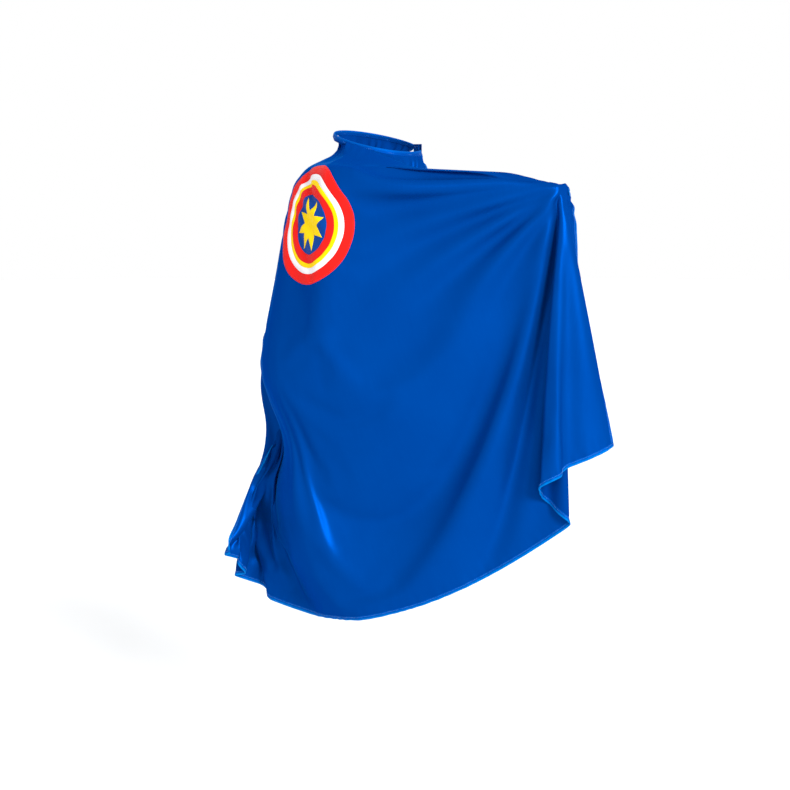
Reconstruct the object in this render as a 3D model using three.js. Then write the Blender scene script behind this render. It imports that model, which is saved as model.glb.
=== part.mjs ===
// A child's superhero cape: one satin panel shaped like a wide fan, hemmed all round, with a bound
// neckline that closes on hook-and-loop tabs and a round appliqué on the centre back. It is worn
// turned round the neck, so the closure is on the wearer's left, and the right front edge is drawn
// across the chest and held out. Millimetres, +Z up, origin at the centre of the neck opening.
import * as THREE from "three";
import { mergeVertices } from "three/addons/utils/BufferGeometryUtils.js";

// Overall sizes of the cape as it hangs
const capeDrop = 860; // neckline down to the lowest point of the hem
const capeSpread = 645; // left bottom corner across to right bottom corner

// Neckline, measured at the binding
const neckHalfWidth = 72; // along X
const neckHalfDepth = 64; // along Y
const neckHeight = 12; // mean height of the neckline over the origin
const neckTilt = 18; // the nape stands this much over that, the throat this much under
const collarFall = 22; // the cloth falls this far from the neckline, close to the neck,
const collarFlare = 8; // standing out by this much, before it spreads over the shoulders
const napeAngle = 140; // degrees, where the neckline is highest
const closureAngle = 11; // degrees, the middle of the gap that the tabs close

// Cloth
const clothThickness = 2;
const hemThickness = 3; // the cloth folded over on itself
const hemWidth = 8;
const bindingWidth = 9;
const fitClearance = 0.3; // between touching pieces
const seamClearance = 1; // between the panel and the hems round it, edge to edge
const threadWidth = 0.9;
const threadThickness = 0.5;
const threadLift = 0.5; // stands off the hem, which is faceted here
const threadInset = 2; // from a hem's inner edge to its line of stitching

// Appliqué on the centre back: radii of its rings, from the middle out
const emblemDrop = 0.4; // share of the way down the centre back
const discRadius = 48;
const innerRedRadius = 62;
const yellowRadius = 69;
const whiteRadius = 78.5;
const emblemRadius = 95;
const starTipRadius = 44;
const starValleyRadius = 22;
const starPoints = 8;
const appliqueThickness = 0.8;
const appliqueLift = 1.8; // stands off the cloth, which is faceted here
const starLift = 1; // stands off the disc in the same way

// Closure tabs and the patches sewn to them
const tabLength = 37;
const tabHeight = 18;
const tabThickness = 1.4;
const tabCorner = 5;
const tabDrop = 4; // middle of a tab under the neckline
const tabRootGap = 2.5; // from the end of the neckline to a tab's root
const tabEndGap = 4.5; // from a tab's free end to the far end of the neckline
const closureGap = tabRootGap + tabLength + tabEndGap; // length of the gap along the neckline
const patchLength = 30;
const patchHeight = 13;
const patchThickness = 0.8;
const patchInset = 4; // from the tab's free end
const stitchInset = 2; // from the patch's edge

// Blank care label, folded into the binding at the nape side
const labelWidth = 24;
const labelLength = 19;
const labelThickness = 0.6;
const labelLift = 1.5;

// How the cloth hangs: six lines from the collar down to the hem, at even shares of the way
// round from the left front edge to the right one, with points at about fifths of their length.
const hangingLines = [
  [[15, 100, -110], [-100, 105, -295], [-190, 95, -470], [-240, 65, -635], [-262, -5, -705]],
  [[-135, -20, -115], [-185, -50, -285], [-198, -65, -455], [-170, -60, -640], [-170, -45, -815]],
  [[-140, -95, -90], [-140, -145, -250], [-70, -172, -420], [-10, -165, -595], [45, -155, -785]],
  [[-70, -145, -55], [-15, -180, -200], [110, -195, -340], [175, -195, -495], [235, -190, -655]],
  [[65, -125, -25], [155, -200, -95], [220, -212, -245], [225, -215, -415], [240, -215, -590]],
  [[95, -125, -45], [240, -190, -65], [285, -195, -205], [330, -190, -365], [378, -195, -485]],
];
const linesDrop = 815; // drop and spread that the points above were set out for
const linesSpread = 640;

// Fineness of the meshes
const stepsRound = 30;
const stepsDown = 26;
const stepsEmblem = 48;

const radians = THREE.MathUtils.degToRad;
const between = THREE.MathUtils.lerp;
const dropScale = (capeDrop - neckHeight - neckTilt - 15) / linesDrop;
const spreadScale = capeSpread / linesSpread;
const halfGapAngle = closureGap / (neckHalfWidth + neckHalfDepth);

// A point on the neckline, at an angle round the neck
function necklineAt(angle) {
  const height = neckHeight + neckTilt * Math.cos(angle - radians(napeAngle));
  return new THREE.Vector3(neckHalfWidth * Math.cos(angle), neckHalfDepth * Math.sin(angle), height);
}

// The angle round the neck at a share of the way from the left front edge to the right one
function neckAngle(across) {
  const start = radians(closureAngle) + halfGapAngle;
  return start + across * (2 * Math.PI - 2 * halfGapAngle);
}

// A point at the bottom of the collar, under the neckline
function collarAt(angle) {
  const flare = new THREE.Vector3(Math.cos(angle), Math.sin(angle), 0).multiplyScalar(collarFlare);
  return necklineAt(angle).add(flare).setZ(necklineAt(angle).z - collarFall);
}

const lineCurves = hangingLines.map((points, i) => {
  const angle = neckAngle(i / (hangingLines.length - 1));
  const hanging = points.map(([x, y, z]) => {
    return new THREE.Vector3(x * spreadScale, y * spreadScale, z * dropScale);
  });
  return new THREE.CatmullRomCurve3([necklineAt(angle), collarAt(angle), ...hanging]);
});
const collarShare = 1 / (hangingLines[0].length + 1);

// The middle of the cloth: across goes from the left front edge to the right, down from the
// neckline to the hem, both 0 to 1. The collar is truly round, and the rest blends out of it.
function cloth(across, down) {
  const acrossLines = (share) => {
    return new THREE.CatmullRomCurve3(lineCurves.map((curve) => curve.getPoint(share))).getPoint(across);
  };
  const angle = neckAngle(across);
  const inCollar = Math.min(1, down / collarShare);
  const round = necklineAt(angle).lerp(collarAt(angle), inCollar);
  const rough = acrossLines(0).lerp(acrossLines(collarShare), inCollar);
  const kept = 1 - THREE.MathUtils.smoothstep(down, collarShare, 2 * collarShare);
  return acrossLines(down).addScaledVector(round.sub(rough), kept);
}

// Directions at a point of the cloth: side and fall run along it, in millimetres for a whole
// share, and out is its unit normal, away from the wearer
function directions(across, down) {
  const e = 0.002;
  const [a0, a1] = [Math.max(0, across - e), Math.min(1, across + e)];
  const [d0, d1] = [Math.max(0, down - e), Math.min(1, down + e)];
  const side = cloth(a1, down).sub(cloth(a0, down)).divideScalar(a1 - a0);
  const fall = cloth(across, d1).sub(cloth(across, d0)).divideScalar(d1 - d0);
  return { side, fall, out: fall.clone().cross(side).normalize() };
}

// A point off the middle of the cloth. A down value under 0 or over 1 goes straight on past the edge.
function clothPoint(across, down, offset) {
  const a = THREE.MathUtils.clamp(across, 0, 1);
  const d = THREE.MathUtils.clamp(down, 0, 1);
  const { side, fall, out } = directions(a, d);
  return cloth(a, d)
    .addScaledVector(side, across - a)
    .addScaledVector(fall, down - d)
    .addScaledVector(out, offset);
}

// Shares for a distance in millimetres, from the top or bottom edge and from a front edge
function downFromTop(across, distance) {
  return distance / directions(across, 0).fall.length();
}
function downFromHem(across, distance) {
  return 1 - distance / directions(across, 1).fall.length();
}
function acrossFromEdge(isLeft, down, distance) {
  const share = distance / directions(isLeft ? 0 : 1, THREE.MathUtils.clamp(down, 0, 1)).side.length();
  return isLeft ? share : 1 - share;
}

// A closed mesh from rings of points, each ring with as many points, capped at both ends
function loftedSolid(rings, capFaces) {
  const count = rings[0].length;
  const positions = rings.flat().flatMap((p) => [p.x, p.y, p.z]);
  const faces = [];
  for (let r = 0; r + 1 < rings.length; r++) {
    for (let i = 0; i < count; i++) {
      const a = r * count + i;
      const b = r * count + ((i + 1) % count);
      faces.push(a, b, b + count, a, b + count, a + count);
    }
  }
  const last = (rings.length - 1) * count;
  for (const [a, b, c] of capFaces) {
    faces.push(c, b, a, last + a, last + b, last + c);
  }
  return solidGeometry(positions, faces);
}

// A closed geometry from positions and triangles, turned to face outwards if it faces inwards
function solidGeometry(positions, faces) {
  let volume = 0;
  const corner = (i) => new THREE.Vector3().fromArray(positions, faces[i] * 3);
  for (let i = 0; i < faces.length; i += 3) {
    volume += corner(i).dot(corner(i + 1).cross(corner(i + 2)));
  }
  const facing = volume > 0 ? faces : [...faces].reverse();
  const geometry = new THREE.BufferGeometry();
  geometry.setAttribute("position", new THREE.Float32BufferAttribute(positions, 3));
  geometry.setIndex(facing);
  geometry.computeVertexNormals();
  return geometry;
}

// A thing of constant section along an edge: the outline is [offset, distance] pairs, counter-
// clockwise with offset to the right and distance up, and place
// turns a share along the edge and a distance from it into shares of the cloth
function alongEdge(outline, steps, place) {
  const rings = [];
  for (let i = 0; i <= steps; i++) {
    rings.push(
      outline.map(([offset, distance]) => {
        const [across, down] = place(i / steps, distance);
        return clothPoint(across, down, offset);
      }),
    );
  }
  const flat = outline.map(([x, y]) => new THREE.Vector2(x, y));
  return loftedSolid(rings, THREE.ShapeUtils.triangulateShape(flat, []));
}

// The section of a strip laid on or in the cloth, from one distance to another off its edge
function stripSection(low, high, near, far) {
  return [
    [low, near],
    [high, near],
    [high, far],
    [low, far],
  ];
}

// The section of a hem or of the binding, and of a line of stitching on it
function hemSection(width) {
  return stripSection(-hemThickness / 2, hemThickness / 2, 0, width);
}
function threadSection(width) {
  const low = hemThickness / 2 + threadLift;
  const far = width - threadInset;
  return stripSection(low, low + threadThickness, far - threadWidth, far);
}

// Where the panel and the front hems stop, under the binding and over the bottom hem
const upperLimit = bindingWidth + seamClearance;
const lowerLimit = hemWidth + seamClearance;

function neckPlace(share, distance) {
  return [share, downFromTop(share, distance)];
}
function bottomPlace(share, distance) {
  return [share, downFromHem(share, distance)];
}
function fallShare(across, share) {
  return between(downFromTop(across, upperLimit), downFromHem(across, lowerLimit), share);
}
function frontPlace(isLeft) {
  return (share, distance) => {
    const down = fallShare(isLeft ? 0 : 1, share);
    return [acrossFromEdge(isLeft, down, distance), down];
  };
}

// The panel: its two faces are grids, and it fills the space inside the hems and the binding
function capePanel() {
  const rings = [];
  for (let j = 0; j <= stepsDown; j++) {
    const row = [];
    for (let i = 0; i <= stepsRound; i++) {
      const down = fallShare(i / stepsRound, j / stepsDown);
      const left = acrossFromEdge(true, down, lowerLimit);
      const right = acrossFromEdge(false, down, lowerLimit);
      row.push([between(left, right, i / stepsRound), down]);
    }
    const outer = row.map(([across, down]) => clothPoint(across, down, clothThickness / 2));
    const inner = row.map(([across, down]) => clothPoint(across, down, -clothThickness / 2));
    rings.push([...outer, ...inner.reverse()]);
  }
  const capFaces = [];
  const last = 2 * stepsRound + 1;
  for (let i = 0; i < stepsRound; i++) {
    capFaces.push([i, i + 1, last - i - 1], [i, last - i - 1, last - i]);
  }
  return loftedSolid(rings, capFaces);
}

// A flat shape laid on the cloth round the emblem's middle: x to the wearer's right, y up
function emblemPoint(x, y, offset) {
  const { side, fall } = directions(0.5, emblemDrop);
  return clothPoint(0.5 + x / side.length(), emblemDrop - y / fall.length(), offset);
}

const emblemLow = clothThickness / 2 + appliqueLift;

// A ring of the appliqué
function emblemRing(innerRadius, outerRadius) {
  const rings = [];
  for (let i = 0; i < stepsEmblem; i++) {
    const angle = (2 * Math.PI * i) / stepsEmblem;
    const at = (radius, offset) => emblemPoint(radius * Math.cos(angle), radius * Math.sin(angle), offset);
    rings.push([
      at(innerRadius, emblemLow),
      at(outerRadius, emblemLow),
      at(outerRadius, emblemLow + appliqueThickness),
      at(innerRadius, emblemLow + appliqueThickness),
    ]);
  }
  const geometry = loftedSolid([...rings, rings[0]], []);
  return mergedByPosition(geometry);
}

function mergedByPosition(geometry) {
  geometry.deleteAttribute("normal");
  const merged = mergeVertices(geometry, 1e-4);
  merged.computeVertexNormals();
  return merged;
}

// A filled shape of the appliqué, given its radius at each angle
function emblemFill(radiusAt, low) {
  const fractions = [0.5, 1];
  const positions = [];
  const faces = [];
  const add = (point) => positions.push(point.x, point.y, point.z) / 3 - 1;
  const sides = [low, low + appliqueThickness].map((offset) => {
    const middle = add(emblemPoint(0, 0, offset));
    const loops = fractions.map((fraction) => {
      return Array.from({ length: stepsEmblem }, (_, i) => {
        const angle = (2 * Math.PI * i) / stepsEmblem;
        const radius = radiusAt(angle) * fraction;
        return add(emblemPoint(radius * Math.cos(angle), radius * Math.sin(angle), offset));
      });
    });
    return { middle, loops };
  });
  const [under, over] = sides;
  for (let i = 0; i < stepsEmblem; i++) {
    const n = (i + 1) % stepsEmblem;
    const [uIn, uOut] = under.loops;
    const [oIn, oOut] = over.loops;
    faces.push(over.middle, oIn[i], oIn[n], under.middle, uIn[n], uIn[i]);
    faces.push(oIn[i], oOut[i], oOut[n], oIn[i], oOut[n], oIn[n]);
    faces.push(uIn[i], uOut[n], uOut[i], uIn[i], uIn[n], uOut[n]);
    faces.push(oOut[i], uOut[i], uOut[n], oOut[i], uOut[n], oOut[n]);
  }
  return solidGeometry(positions, faces);
}

// The star's radius at an angle: straight from each tip to the valleys beside it
function starRadius(angle) {
  const half = Math.PI / starPoints;
  const turned = angle + Math.PI / 2;
  const fromTip = Math.abs(((((turned + half) % (2 * half)) + 2 * half) % (2 * half)) - half);
  const valley = new THREE.Vector2(Math.cos(half), Math.sin(half)).multiplyScalar(starValleyRadius);
  const slope = (starTipRadius - valley.x) / valley.y;
  return starTipRadius / (Math.cos(fromTip) + slope * Math.sin(fromTip));
}

// The frame of the closure: middle of the gap, along it to the left front edge, and outwards
const gapLeft = necklineAt(neckAngle(0));
const gapRight = necklineAt(neckAngle(1));
const gapMiddle = gapLeft.clone().add(gapRight).multiplyScalar(0.5);
const along = gapLeft.clone().sub(gapRight).setZ(0).normalize();
const outwards = new THREE.Vector3(along.y, -along.x, 0);
const gapLength = gapLeft.clone().sub(gapRight).setZ(0).length();
const layerGap = fitClearance / 2;

// A rectangle with its two corners at the far end rounded, its root on the Y axis
function tabOutline(length, height, corner) {
  const shape = new THREE.Shape();
  shape.moveTo(0, -height / 2);
  shape.lineTo(length - corner, -height / 2);
  shape.absarc(length - corner, -height / 2 + corner, corner, -Math.PI / 2, 0);
  shape.absarc(length - corner, height / 2 - corner, corner, 0, Math.PI / 2);
  shape.lineTo(0, height / 2);
  shape.closePath();
  return shape;
}

// A flat rectangular outline, or a frame when it has a band width
function patchOutline(length, height, band) {
  const rectangle = (l, h) => {
    return [
      new THREE.Vector2(-l / 2, -h / 2),
      new THREE.Vector2(l / 2, -h / 2),
      new THREE.Vector2(l / 2, h / 2),
      new THREE.Vector2(-l / 2, h / 2),
    ];
  };
  const shape = new THREE.Shape(rectangle(length, height));
  if (band) shape.holes.push(new THREE.Path(rectangle(length - 2 * band, height - 2 * band).reverse()));
  return shape;
}

// A flat piece of the closure: its outline lies in the gap's plane, starting at a distance from
// the left (or right) end of the neckline, and it is as thick as given from low outwards
function closurePiece(shape, isLeft, start, low, thickness) {
  const geometry = new THREE.ExtrudeGeometry(shape, { depth: thickness, bevelEnabled: false, curveSegments: 4 });
  const direction = isLeft ? along.clone().negate() : along.clone();
  const root = (isLeft ? gapLeft : gapRight).clone().addScaledVector(direction, start);
  root.z = gapMiddle.z - tabDrop;
  const up = outwards.clone().cross(direction);
  const basis = new THREE.Matrix4().makeBasis(direction, up, outwards);
  basis.setPosition(root.addScaledVector(outwards, low));
  geometry.applyMatrix4(basis);
  return geometry;
}

const patchMiddle = tabRootGap + tabLength - patchInset - patchLength / 2;
const patchOuter = layerGap + patchThickness;
const tabInner = patchOuter + fitClearance;
const tabOuter = tabInner + tabThickness;

function tab(isLeft) {
  const low = isLeft ? -tabOuter : tabInner;
  return closurePiece(tabOutline(tabLength, tabHeight, tabCorner), isLeft, tabRootGap, low, tabThickness);
}

function patch(isLeft) {
  const low = isLeft ? -patchOuter : layerGap;
  return closurePiece(patchOutline(patchLength, patchHeight, 0), isLeft, patchMiddle, low, patchThickness);
}

// The rectangle of stitching that holds a patch, on the far side of its tab
function patchThread(isLeft) {
  const reach = tabOuter + fitClearance;
  const low = isLeft ? -reach - threadThickness : reach;
  const shape = patchOutline(patchLength - 2 * stitchInset, patchHeight - 2 * stitchInset, threadWidth);
  return closurePiece(shape, isLeft, patchMiddle, low, threadThickness);
}

// The care label hangs inside the cape from the binding, on the centre back
function careLabel() {
  const near = -(hemThickness / 2 + labelLift);
  const halfShare = labelWidth / 2 / directions(0.5, 0).side.length();
  const section = stripSection(near - labelThickness, near, 0, labelLength);
  return alongEdge(section, 4, (share, distance) => {
    const across = 0.5 + (2 * share - 1) * halfShare;
    return [across, downFromTop(0.5, distance)];
  });
}

function material(colour, roughness) {
  return new THREE.MeshStandardMaterial({ color: colour, roughness, metalness: 0 });
}
const satin = material(0x004baa, 0.35);
const edging = material(0x0a68c4, 0.4);
const thread = material(0x2b7fd8, 0.6);
const redFoil = material(0xed2d28, 0.45);
const whiteFoil = material(0xebe8eb, 0.45);
const yellowFoil = material(0xfdd700, 0.45);
const blueFoil = material(0x0a4aa4, 0.45);
const hookLoop = material(0x0b2f6b, 0.9);
const labelCloth = material(0xf0f0ee, 0.6);

const cape = new THREE.Group();
function add(name, geometry, finish) {
  const mesh = new THREE.Mesh(geometry, finish);
  mesh.name = name;
  cape.add(mesh);
}

// Cloth, hems and binding, each with its line of stitching
add("cape_panel", capePanel(), satin);
function addStrip(name, threadName, width, steps, place) {
  add(name, alongEdge(hemSection(width), steps, place), edging);
  add(threadName, alongEdge(threadSection(width), steps, place), thread);
}
addStrip("neck_binding", "neck_thread", bindingWidth, stepsRound, neckPlace);
addStrip("bottom_hem", "bottom_hem_thread", hemWidth, stepsRound, bottomPlace);
addStrip("left_front_hem", "left_hem_thread", hemWidth, stepsDown, frontPlace(true));
addStrip("right_front_hem", "right_hem_thread", hemWidth, stepsDown, frontPlace(false));

// Appliqué
const halfClearance = fitClearance / 2;
add("emblem_outer_ring", emblemRing(whiteRadius + halfClearance, emblemRadius), redFoil);
add("emblem_white_ring", emblemRing(yellowRadius + halfClearance, whiteRadius - halfClearance), whiteFoil);
add("emblem_yellow_ring", emblemRing(innerRedRadius + halfClearance, yellowRadius - halfClearance), yellowFoil);
add("emblem_inner_ring", emblemRing(discRadius + halfClearance, innerRedRadius - halfClearance), redFoil);
add("emblem_disc", emblemFill(() => discRadius - halfClearance, emblemLow), blueFoil);
const starLow = emblemLow + appliqueThickness + starLift;
add("emblem_star", emblemFill(starRadius, starLow), yellowFoil);

// Closure and label
add("left_tab", tab(true), satin);
add("right_tab", tab(false), satin);
add("loop_patch", patch(true), hookLoop);
add("hook_patch", patch(false), hookLoop);
add("loop_patch_thread", patchThread(true), thread);
add("hook_patch_thread", patchThread(false), thread);
add("care_label", careLabel(), labelCloth);

export default cape;
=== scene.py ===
import math

import bmesh
import bpy
import numpy as np
from mathutils import Matrix, Vector


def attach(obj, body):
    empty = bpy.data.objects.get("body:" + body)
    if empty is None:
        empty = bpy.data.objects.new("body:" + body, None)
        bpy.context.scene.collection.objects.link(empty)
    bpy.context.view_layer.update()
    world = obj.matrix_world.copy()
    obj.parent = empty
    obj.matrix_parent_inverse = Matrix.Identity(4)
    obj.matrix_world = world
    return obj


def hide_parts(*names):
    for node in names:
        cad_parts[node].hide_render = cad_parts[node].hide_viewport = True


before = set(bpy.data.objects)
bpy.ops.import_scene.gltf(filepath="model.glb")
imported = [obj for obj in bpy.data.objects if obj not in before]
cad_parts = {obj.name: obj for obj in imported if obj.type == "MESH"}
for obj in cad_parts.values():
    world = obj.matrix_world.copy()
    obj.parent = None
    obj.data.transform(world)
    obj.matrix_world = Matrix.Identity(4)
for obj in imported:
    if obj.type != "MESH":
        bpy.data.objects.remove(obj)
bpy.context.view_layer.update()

scene = bpy.context.scene

# Studio: camera, pale room and soft key light

studio = {
    "lookAt": (0.029, 0.0, -0.4165),
    "distance": 3.3,
    "elevation": 7,  # degrees
    "halfHeightSeen": 0.6715,
    "floorHeight": -1.09,
    "floorRadius": 14,
    "floorColours": ((0.86, 0.87, 0.88, 1), (0.90, 0.91, 0.92, 1)),
    "roomColour": (1.0, 1.0, 1.0, 1),
    "roomStrength": 1.0,
    "keyFrom": (0.9, -1.6, 0.70),
    "keyStrength": 4.0,
    "keySoftness": 20,  # degrees
}


def aimAt(thing, target):
    direction = Vector(target) - thing.location
    thing.rotation_euler = direction.to_track_quat("-Z", "Y").to_euler()


def addToScene(name, data):
    thing = bpy.data.objects.new(name, data)
    scene.collection.objects.link(thing)
    return thing


def makeCamera():
    tilt = math.radians(studio["elevation"])
    data = bpy.data.cameras.new("viewCamera")
    data.sensor_width = 36
    data.lens = 18 * studio["distance"] / studio["halfHeightSeen"]
    camera = addToScene("viewCamera", data)
    backwards = Vector((0, -math.cos(tilt), math.sin(tilt)))
    camera.location = Vector(studio["lookAt"]) + backwards * studio["distance"]
    aimAt(camera, studio["lookAt"])
    scene.camera = camera


def makeKeyLight():
    sun = bpy.data.lights.new("keyLight", "SUN")
    sun.energy = studio["keyStrength"]
    sun.angle = math.radians(studio["keySoftness"])
    key = addToScene("keyLight", sun)
    key.location = Vector(studio["lookAt"]) + Vector(studio["keyFrom"])
    aimAt(key, studio["lookAt"])


def makeRoom():
    world = bpy.data.worlds.new("paleRoom")
    world.use_nodes = True
    background = world.node_tree.nodes["Background"]
    background.inputs["Color"].default_value = studio["roomColour"]
    background.inputs["Strength"].default_value = studio["roomStrength"]
    scene.world = world


makeCamera()
makeKeyLight()
makeRoom()
scene.view_settings.view_transform = "Standard"
print("studio ready")

# The cloth as it is cut: a fan with a curved hem. Places on it are a share across, from the left
# front edge to the right one, and a share down, from the neckline to the hem

cut = {
    "neckRadius": 0.22,
    "neckLength": 0.39,
    "fanAtHem": 1.10,  # radians that the fan spans at the hem, less than at the neckline
    "narrowsFrom": 0.30,  # drop from which the front edges run straighter down
    "dropMiddle": 0.85,
    "dropFront": 0.757,
    "dropCurve": 1.7,
    "thickness": 0.0006,
}
neckRadius = cut["neckRadius"]


def ease(low, high, value):
    t = np.clip((value - low) / (high - low), 0, 1)
    return t * t * (3 - 2 * t)


def dropAt(across):
    shortening = np.abs(2 * across - 1) ** cut["dropCurve"]
    return cut["dropMiddle"] - (cut["dropMiddle"] - cut["dropFront"]) * shortening


def fanAt(below):
    atNeck = cut["neckLength"] / neckRadius
    narrowed = ease(cut["narrowsFrom"], cut["dropMiddle"], below)
    return atNeck + (cut["fanAtHem"] - atNeck) * narrowed


def patternPoint(across, down):
    below = down * dropAt(across)
    turn = fanAt(below) * (across - 0.5)
    reach = neckRadius + below
    return reach * np.sin(turn), neckRadius - reach * np.cos(turn)


def sharesOf(x, y):
    below = np.hypot(x, neckRadius - y) - neckRadius
    across = np.arctan2(x, neckRadius - y) / fanAt(below) + 0.5
    return across, below / dropAt(across)


def widthAt(down, across=0.5):
    below = down * dropAt(across)
    return fanAt(below) * (neckRadius + below)


# The neckline, a tilted oval with a gap that the tabs close, and the short collar under it

neckline = {
    "halfWidth": 0.072,
    "halfDepth": 0.064,
    "height": 0.012,
    "tilt": 0.018,
    "napeAngle": math.radians(140),
    "closureAngle": math.radians(11),
    "closureGap": 0.044,
    "collarFall": 0.022,
    "collarFlare": 0.008,
}
halfGap = neckline["closureGap"] / (neckline["halfWidth"] + neckline["halfDepth"])
collarLength = math.hypot(neckline["collarFall"], neckline["collarFlare"])


def neckAngle(across):
    return neckline["closureAngle"] + halfGap + across * (2 * math.pi - 2 * halfGap)


def neckPoint(across, below=0.0):
    angle = neckAngle(across)
    share = below / collarLength
    flare = neckline["collarFlare"] * share
    x = (neckline["halfWidth"] + flare) * np.cos(angle)
    y = (neckline["halfDepth"] + flare) * np.sin(angle)
    z = neckline["height"] + neckline["tilt"] * np.cos(angle - neckline["napeAngle"])
    return np.stack([x, y, z - neckline["collarFall"] * share], axis=-1)


# The wearer's rough shape, which only the simulation sees: ends and radii of padded bones

wearer = {
    "neck": ((0, 0, -0.03), (0, 0, 0.05), 0.046, 0.044),
    "shoulders": ((-0.045, -0.105, -0.066), (0.045, 0.105, -0.064), 0.042, 0.042),
    "back": ((-0.075, -0.015, -0.090), (-0.105, -0.020, -0.385), 0.060, 0.085),
    "chest": ((0.035, 0.045, -0.13), (-0.055, 0.060, -0.385), 0.075, 0.080),
    "seat": ((-0.108, 0.015, -0.375), (-0.088, 0.03, -0.42), 0.084, 0.075),
    "rearLeg": ((-0.100, 0.03, -0.43), (-0.160, 0.10, -0.64), 0.070, 0.050),
    "frontLeg": ((-0.05, 0.02, -0.43), (0.045, -0.10, -0.95), 0.080, 0.05),
    "rightArm": ((-0.050, -0.108, -0.075), (-0.075, -0.112, -0.30), 0.036, 0.030),
}
hold = {
    "grip": (0.962, 0.440),  # shares across and down of the place that is held
    "gripSize": (0.030, 0.020),
    "gripDropAt": 0.9,  # share across whose drop gives the held patch its height
    "gripGathered": 0.60,  # the held patch shrinks to this as it is gathered
    "gripTurn": 8,  # degrees, as the hand takes it outwards
    "gripPlace": (0.297, -0.190, -0.068),
    "gripPath": (0.04, -0.05, 0.02),  # off the straight way, half way there
    "leftCorner": ((-0.290, 0.020, -0.640), (-0.254, -0.010, -0.690)),
    "rightCorner": ((0.425, -0.100, -0.500), (0.380, -0.190, -0.478)),
    "cornerGrip": 0.95,
    "cornerDelay": 8,  # frames after the hand
    "neckGrip": (1.0, 0.85),  # how firmly the neckline and the row under it are held
}
draping = {
    "columns": 110,
    "rows": 60,
    "frames": 85,
    "moveFrames": 40,
    "quality": 7,
    "vertexMass": 0.12,
    "tension": 25,
    "compression": 20,
    "shear": 12,
    "bending": 0.12,
    "damping": 6,
    "bendingDamping": 0.6,
    "air": 1.2,
    "friction": 6,
    "collisionQuality": 3,
    "clearance": 0.006,
}


startShape = {
    "neckRadius": 0.066,
    "shoulderFlare": 0.125,
    "skirtFlare": 0.05,
    "shoulderDrop": 0.16,
    "skirtDrop": 0.7,
    "backAngle": math.radians(190),
    "widestTurn": 2 * math.pi * 0.985,
    "collarDrop": 0.055,
    "collarFall": 0.055,
    "shoulderFall": 0.030,
    "hangsFrom": 0.13,
    "lean": (0.05, 0.02),  # towards -X and +Y, lower down
    "leanDrops": (0.05, 0.5),
    "collarBlend": (0.5, 3),  # in collar lengths
}


def startPlaces(across, down):
    below = down * dropAt(across)
    arc = widthAt(down, across)
    collar = neckPoint(across, np.minimum(below, 2 * collarLength))
    shoulder, skirt = startShape["shoulderDrop"], startShape["skirtDrop"]
    radius = startShape["neckRadius"] + startShape["shoulderFlare"] * ease(0, shoulder, below)
    radius = radius + startShape["skirtFlare"] * ease(shoulder, skirt, below)
    turn = np.minimum(startShape["widestTurn"], arc / radius)
    angle = startShape["backAngle"] + (across - 0.5) * turn
    leanX, leanY = startShape["lean"]
    leaning = ease(*startShape["leanDrops"], below)
    collarDrop = startShape["collarDrop"]
    height = -startShape["collarFall"] * ease(0, collarDrop, below)
    height = height - startShape["shoulderFall"] * ease(collarDrop, shoulder, below)
    height = height - np.maximum(0, below - startShape["hangsFrom"])
    x = radius * np.cos(angle) - leanX * leaning
    y = radius * np.sin(angle) + leanY * leaning
    loose = np.stack([x, y, height], axis=-1)
    begins, ends = startShape["collarBlend"]
    share = ease(begins * collarLength, ends * collarLength, below)[..., None]
    return collar * (1 - share) + loose * share


def gridShares(bm):
    places = np.array([v.co[:2] for v in bm.verts])
    return places[:, 0] + 0.5, 0.5 - places[:, 1]


def addBone(name, a, b, radiusA, radiusB):
    bm = bmesh.new()
    for centre, radius in ((a, radiusA), (b, radiusB)):
        bmesh.ops.create_icosphere(bm, subdivisions=3, radius=radius, matrix=Matrix.Translation(centre))
    bmesh.ops.convex_hull(bm, input=bm.verts)
    inside = [v for v in bm.verts if not v.link_faces]
    bmesh.ops.delete(bm, geom=inside, context="VERTS")
    bmesh.ops.recalc_face_normals(bm, faces=bm.faces)
    mesh = bpy.data.meshes.new(name)
    bm.to_mesh(mesh)
    bm.free()
    bone = addToScene(name, mesh)
    bone.modifiers.new("Collision", "COLLISION")
    bone.collision.thickness_outer = draping["clearance"]
    bone.collision.cloth_friction = draping["friction"]
    return bone


def holdVertices(cloth, name, vertices, start, moves, gathered=1.0, turned=0.0):
    group = cloth.vertex_groups.new(name=name)
    group.add(vertices, 1.0, "REPLACE")
    handle = addToScene(name, None)
    handle.location = start
    bpy.context.view_layer.update()
    hook = cloth.modifiers.new(name, "HOOK")
    hook.object = handle
    hook.vertex_group = name
    hook.matrix_inverse = handle.matrix_world.inverted()
    handle.keyframe_insert("location", frame=1)
    handle.keyframe_insert("scale", frame=1)
    handle.keyframe_insert("rotation_euler", frame=1)
    for atFrame, place in moves:
        handle.location = place
        handle.keyframe_insert("location", frame=atFrame)
    handle.scale = (gathered, gathered, gathered)
    handle.keyframe_insert("scale", frame=moves[-1][0])
    handle.rotation_euler = (0, 0, math.radians(turned))
    handle.keyframe_insert("rotation_euler", frame=moves[-1][0])
    return handle


def makeLooseCloth():
    bm = bmesh.new()
    bmesh.ops.create_grid(bm, x_segments=draping["columns"], y_segments=draping["rows"], size=0.5)
    across, down = gridShares(bm)
    mesh = bpy.data.meshes.new("looseCloth")
    bm.to_mesh(mesh)
    bm.free()
    places = startPlaces(across, down)
    mesh.vertices.foreach_set("co", places.ravel())
    cloth = addToScene("looseCloth", mesh)
    cloth.shape_key_add(name="Basis")
    flat = cloth.shape_key_add(name="flat")
    x, y = patternPoint(across, down)
    flat.data.foreach_set("co", np.stack([x, y, 0 * x], axis=-1).ravel())
    return cloth, flat, across, down


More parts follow.
